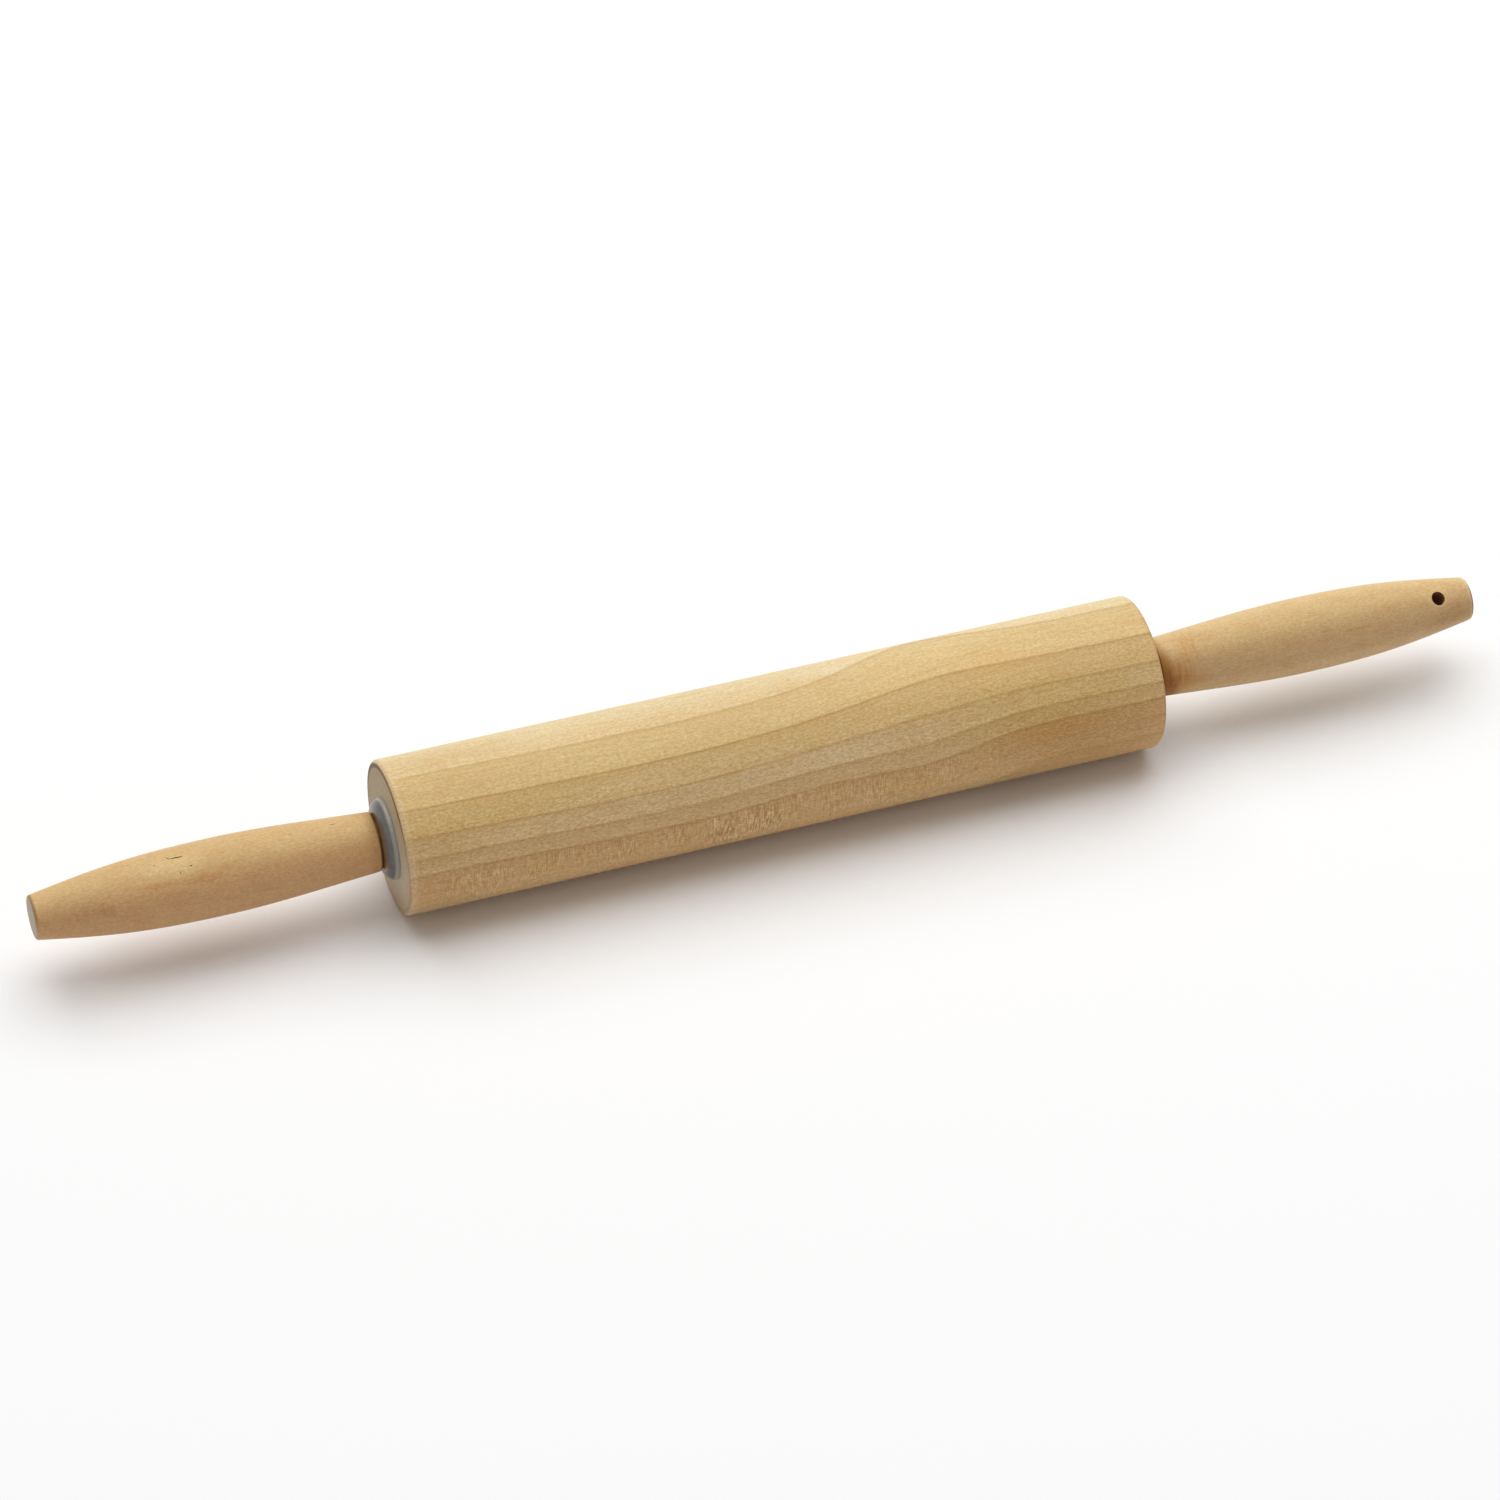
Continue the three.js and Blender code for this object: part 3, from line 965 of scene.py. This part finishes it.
def makeHandleWood(name, wood, tone):
    material, tree, shader = newFinish(name)
    at = finishAxes(tree)
    patternShift = [tone["seed"] * step for step in wood["patternShift"]]
    fibreShift = [tone["seed"] * step for step in wood["fibreShift"]]
    waves = drawPatterns(tree, vectorCalc(tree, "ADD", at.point, patternShift), wood["patterns"])
    height = sway(tree, cuppedHeight(tree, at, wood["cupRadius"]), waves["slow"], wood["layerWave"])
    streak = drawFibres(tree, at, height, wood["fibres"], fibreShift)
    shade = spread(tree, sway(tree, at.rise, waves["slow"], wood["shadeWave"]), *wood["shadeBlend"])
    colour = blendColour(tree, shade, tone["lower"], tone["upper"])
    lean = calc(tree, "DIVIDE", at.rise, fromAxis(tree, at))
    # painted light along the top; along the bottom painted shade on the left handle, painted light on the
    # right
    for wash in (tone["topLightWash"], tone["bottomLightWash"]):
        colour = washBetween(tree, colour, lean, wash)
    colour = varyColour(tree, colour, streak, *wood["streakTones"])
    colour = speckColour(tree, colour, waves["speck"], *wood["speckTints"])
    colour = varyColour(tree, colour, waves["lathe"], *wood["latheTones"])
    colour = washBetween(tree, colour, waves["mottle"], wood["mottleWash"])
    colour = markWood(tree, colour, at.point, tone["marks"])
    colour = handleEnds(tree, colour, at, waves, wood, tone)
    finishWood(tree, shader, colour, streak, waves["speck"], wood["surface"])
    return material


# cuts: the hang hole, and the small cracks and pin holes of the left handle
hangHole = {
    "diameter": 4.76,
    "fromTip": 12.7,
    "tilt": 54.5,           # degrees up from the front
    "drillLength": 30.0,
    "sides": 64,
    "wall": ((0.290, 0.140, 0.055), (0.450, 0.250, 0.115)),
}
cracks = (      # places as for marks, half sizes along, across and deep, slant in degrees
    {"place": (leftEnd - 69.2, 12.35, -44.3), "half": (2.1, 0.21, 0.6), "slant": 3},
    {"place": (leftEnd - 71.9, 12.3, -47.2), "half": (1.2, 0.11, 0.45), "slant": 40},
    {"place": (leftEnd - 65.5, 12.4, -24.3), "half": (0.35, 0.19, 0.45), "slant": 20},
    {"place": (leftEnd - 69.3, 12.4, -16.6), "half": (0.13, 0.36, 0.45), "slant": 0},
    {"place": (leftEnd - 76.6, 12.0, -39.1), "half": (0.34, 0.14, 0.35), "slant": 10},
    {"place": (leftEnd - 18.1, 10.75, -50.0), "half": (1.2, 0.11, 0.3), "slant": -6},
)
# dark crack walls: painted shade inside the shallow cracks
crackShadeTones = ((0.150, 0.075, 0.016), (0.250, 0.130, 0.032))
crackSegments = (20, 10)
cutSurface = {
    "fibre": pattern(0.8, 2.0, 3.0, 0.7),
    "stops": (0.25, 0.75),
    "roughness": 0.9,
    "sheen": 0.05,
    "relief": (0.4, 0.0002),
}


def makeCutWood(name, tones, surface):
    # walls of the drilled hole and of the small cracks, the cracks dark with painted shade
    material, tree, shader = newFinish(name)
    fibre = drawPattern(tree, finishAxes(tree).point, surface["fibre"])
    colour = rampColour(tree, fibre, list(zip(surface["stops"], tones)))
    tree.links.new(colour, shader.inputs["Base Color"])
    shader.inputs["Roughness"].default_value = surface["roughness"]
    shader.inputs["Specular IOR Level"].default_value = surface["sheen"]
    tree.links.new(bumpFrom(tree, fibre, *surface["relief"]), shader.inputs["Normal"])
    return material


def cutterPlace(along, radius, turn, slant=0.0):
    # x runs along the pin, leaning by the slant, and z points outwards
    outward = Vector((0.0, -math.cos(turn), math.sin(turn)))
    ahead = Vector((1.0, 0.0, 0.0))
    run = ahead * math.cos(slant) + ahead.cross(outward) * math.sin(slant)
    axes = Matrix((run, outward.cross(run), outward)).transposed().to_4x4()
    return Matrix.Translation(Vector((along * mm, 0.0, 0.0)) + outward * radius * mm) @ axes


def makeCutter(name, shape, place, finish):
    bmesh.ops.transform(shape, matrix=place, verts=shape.verts)
    mesh = bpy.data.meshes.new(name)
    shape.to_mesh(mesh)
    shape.free()
    mesh.materials.append(finish)
    cutter = bpy.data.objects.new(name, mesh)
    scene.collection.objects.link(cutter)
    return cutter


def makeHoleCutter(size, finish):
    # a straight drill right through the handle
    place = cutterPlace(rollerEnd + handleReach - size["fromTip"], 0.0, math.radians(size["tilt"]))
    radius = size["diameter"] / 2 * mm
    drill = bmesh.new()
    bmesh.ops.create_cone(drill, cap_ends=True, segments=size["sides"], radius1=radius, radius2=radius,
                          depth=size["drillLength"] * mm)
    return makeCutter("hangHoleDrill", drill, place, finish)


def makeCrackCutter(crack, finish):
    along, radius, angle = crack["place"]
    stretch = Matrix.Diagonal((*(half * mm for half in crack["half"]), 1.0))
    place = cutterPlace(along, radius, viewTurn - math.radians(angle), math.radians(crack["slant"])) @ stretch
    around, down = crackSegments
    ball = bmesh.new()
    bmesh.ops.create_uvsphere(ball, u_segments=around, v_segments=down, radius=1.0)
    return makeCutter("crackCutter", ball, place, finish)


def cutAway(piece, cutters):
    for cutter in cutters:
        cut = piece.modifiers.new("cut", "BOOLEAN")
        cut.operation = "DIFFERENCE"
        cut.solver = "EXACT"
        cut.material_mode = "TRANSFER"
        cut.object = cutter
    settle(piece)
    for cutter in cutters:
        bpy.data.objects.remove(cutter)


drilledWood = makeCutWood("drilledWood", hangHole["wall"], cutSurface)
paintedShadeCrack = makeCutWood("paintedShadeCrack", crackShadeTones, cutSurface)
crackCutters = [makeCrackCutter(crack, paintedShadeCrack) for crack in cracks]
holeCutters = [makeHoleCutter(hangHole, drilledWood)]
for sideName, tone, cutters in (("left", leftTone, crackCutters), ("right", rightTone, holeCutters)):
    finish = makeHandleWood(sideName + "HandleWood", handleWood, tone)
    handle = turnPiece(sideName + "TurnedHandle", handleOutline(handleSizes), handleSizes["sides"],
                       finish, tone["side"], rollerEnd)
    cutAway(handle, cutters)
    dress(handle, sideName + "_handle", "handle_unit")
    print(sideName, "handle turned and cut:", len(handle.data.polygons), "faces")


# steel that stays as the frame has it
steelTone = {
    "drawn": pattern(0.05, 6.0, 3.0, 0.6),
    "stops": (0.3, 0.7),
    "axle": ((0.545, 0.545, 0.545), (0.620, 0.620, 0.626)),
    "axleRoughness": (0.28, 0.40),
    # dark brown, painted so the crevice the washers sit in reads as brown shade
    "washer": ((0.150, 0.092, 0.038), (0.200, 0.125, 0.055)),
    "washerRoughness": (0.5, 0.62),
}


def makeSteel(name, tone, tones, roughness):
    material, tree, shader = newFinish(name)
    drawn = drawPattern(tree, finishAxes(tree).point, tone["drawn"])
    colour = rampColour(tree, drawn, list(zip(tone["stops"], tones)))
    tree.links.new(colour, shader.inputs["Base Color"])
    tree.links.new(spread(tree, drawn, *tone["stops"], *roughness), shader.inputs["Roughness"])
    shader.inputs["Metallic"].default_value = 1.0
    return material


axleSteel = makeSteel("drawnSteel", steelTone, steelTone["axle"], steelTone["axleRoughness"])
washerSteel = makeSteel("shadeBrownSteel", steelTone, steelTone["washer"], steelTone["washerRoughness"])
steelNodes = {"axle_rod": axleSteel, "left_thrust_washer": washerSteel, "right_thrust_washer": washerSteel}
for nodeName, finish in steelNodes.items():
    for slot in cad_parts[nodeName].material_slots:
        slot.material = finish
print("steel dressed")


# white table and soft light from above and a little behind
stageSizes = {
    "floorHalf": 6.0,       # metres
    "floorTone": 0.95,
    "seenTone": 1.0,        # the table as the camera sees it
    "floorRoughness": 0.9,
    "floorSheen": 0.1,
    "skyLevel": 0.28,
    "lampSize": 4.2,
    "lampDistance": 3.2,
    "lampTilt": 21.0,
    "lampPower": 123.0,
}


def seenRay(tree):
    # 1 for what the camera sees, straight or by way of a shiny or clear piece
    path = tree.nodes.new("ShaderNodeLightPath")
    seen = calc(tree, "MAXIMUM", path.outputs["Is Camera Ray"], path.outputs["Is Glossy Ray"])
    return calc(tree, "MAXIMUM", seen, path.outputs["Is Transmission Ray"])


def makeFloor(size):
    mesh = bpy.data.meshes.new("tableTop")
    half = size["floorHalf"]
    corners = [(-half, -half), (half, -half), (half, half), (-half, half)]
    mesh.from_pydata([(x, y, rollerLow.z) for x, y in corners], [], [(0, 1, 2, 3)])
    floor = bpy.data.objects.new("tableTop", mesh)
    scene.collection.objects.link(floor)
    material, tree, shader = newFinish("whiteTable")
    tones = [(size[label],) * 3 for label in ("floorTone", "seenTone")]
    tree.links.new(blendColour(tree, seenRay(tree), *tones), shader.inputs["Base Color"])
    shader.inputs["Roughness"].default_value = size["floorRoughness"]
    shader.inputs["Specular IOR Level"].default_value = size["floorSheen"]
    mesh.materials.append(material)


def makeSky(size):
    world = bpy.data.worlds.new("studio")
    scene.world = world
    world.use_nodes = True
    tree = world.node_tree
    back = next(node for node in tree.nodes if node.type == "BACKGROUND")
    level = calc(tree, "MULTIPLY_ADD", seenRay(tree), 1.0 - size["skyLevel"], size["skyLevel"])
    tree.links.new(level, back.inputs["Strength"])
    back.inputs["Color"].default_value = (1.0, 1.0, 1.0, 1.0)


def makeLamp(size):
    # leans away from the camera's side
    turn = math.radians(cameraView["azimuth"])
    away = Vector((-math.sin(turn), math.cos(turn), 0.0))
    lean = math.radians(size["lampTilt"])
    direction = Vector((0.0, 0.0, 1.0)) * math.cos(lean) + away * math.sin(lean)
    data = bpy.data.lights.new("overheadPanel", "AREA")
    data.shape = "SQUARE"
    data.size = size["lampSize"]
    data.energy = size["lampPower"]
    lamp = bpy.data.objects.new("overheadPanel", data)
    scene.collection.objects.link(lamp)
    lamp.location = direction * size["lampDistance"]
    lamp.rotation_euler = direction.to_track_quat("Z", "Y").to_euler()


makeFloor(stageSizes)
makeSky(stageSizes)
makeLamp(stageSizes)
scene.view_settings.view_transform = "Standard"
print("stage lit")

bpy.context.view_layer.update()
